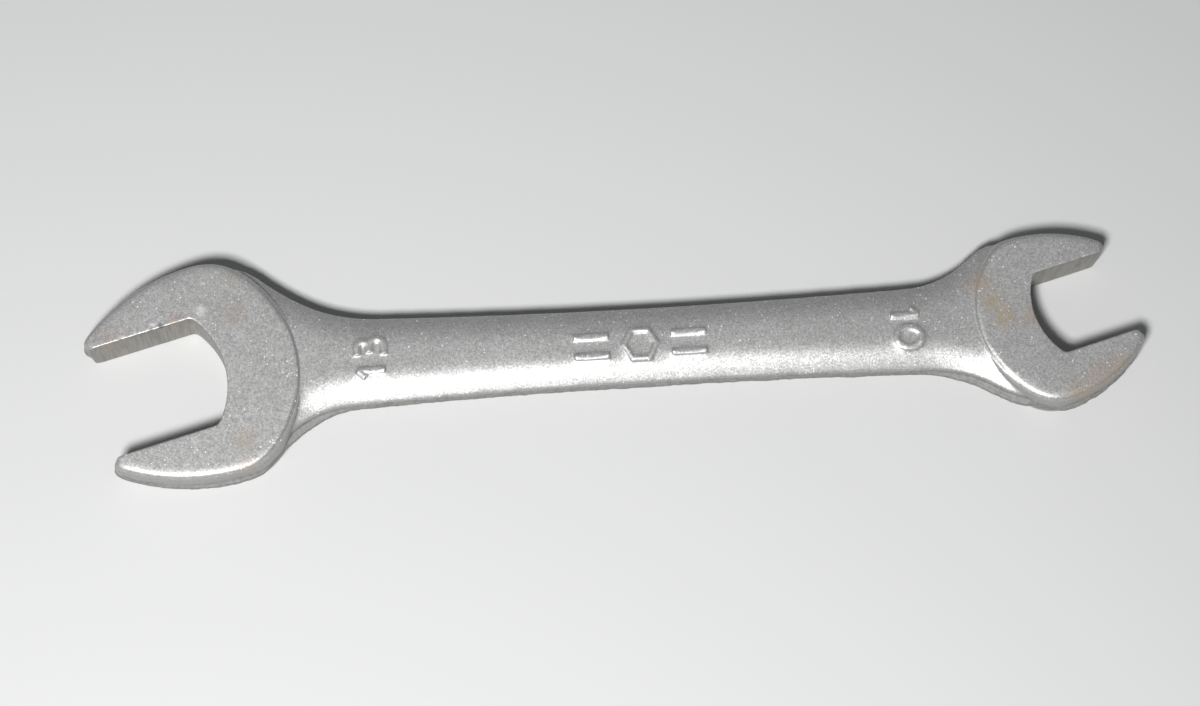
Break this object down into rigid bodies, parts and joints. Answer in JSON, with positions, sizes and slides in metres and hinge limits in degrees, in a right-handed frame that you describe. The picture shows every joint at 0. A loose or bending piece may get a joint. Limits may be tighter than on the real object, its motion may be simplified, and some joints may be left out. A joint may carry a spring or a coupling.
{
  "type": "double open-end wrench",
  "caption": "Flat forged double open-end wrench with a slim S-shaped shank and raised size numerals.",
  "frame": {"origin": "half the overall length, on the shank's centre line and on the parting plane that halves the thickness; the bounding box's centre lies 0.5 mm from it because the two heads are unlike", "axes": "+X along the shank from the 13 mm head to the 10 mm head, +Z out of the side that carries the numerals, +Y across the shank"},
  "size_m": [0.122, 0.0264, 0.0054],
  "materials": {
    "forged_steel": "shot-blasted forged steel: matte mid grey with a fine grain, small bright specks and faint rust tints"
  },
  "bodies": {
    "root": {"wrench_body": "forged_steel"}
  },
  "joints": []
}
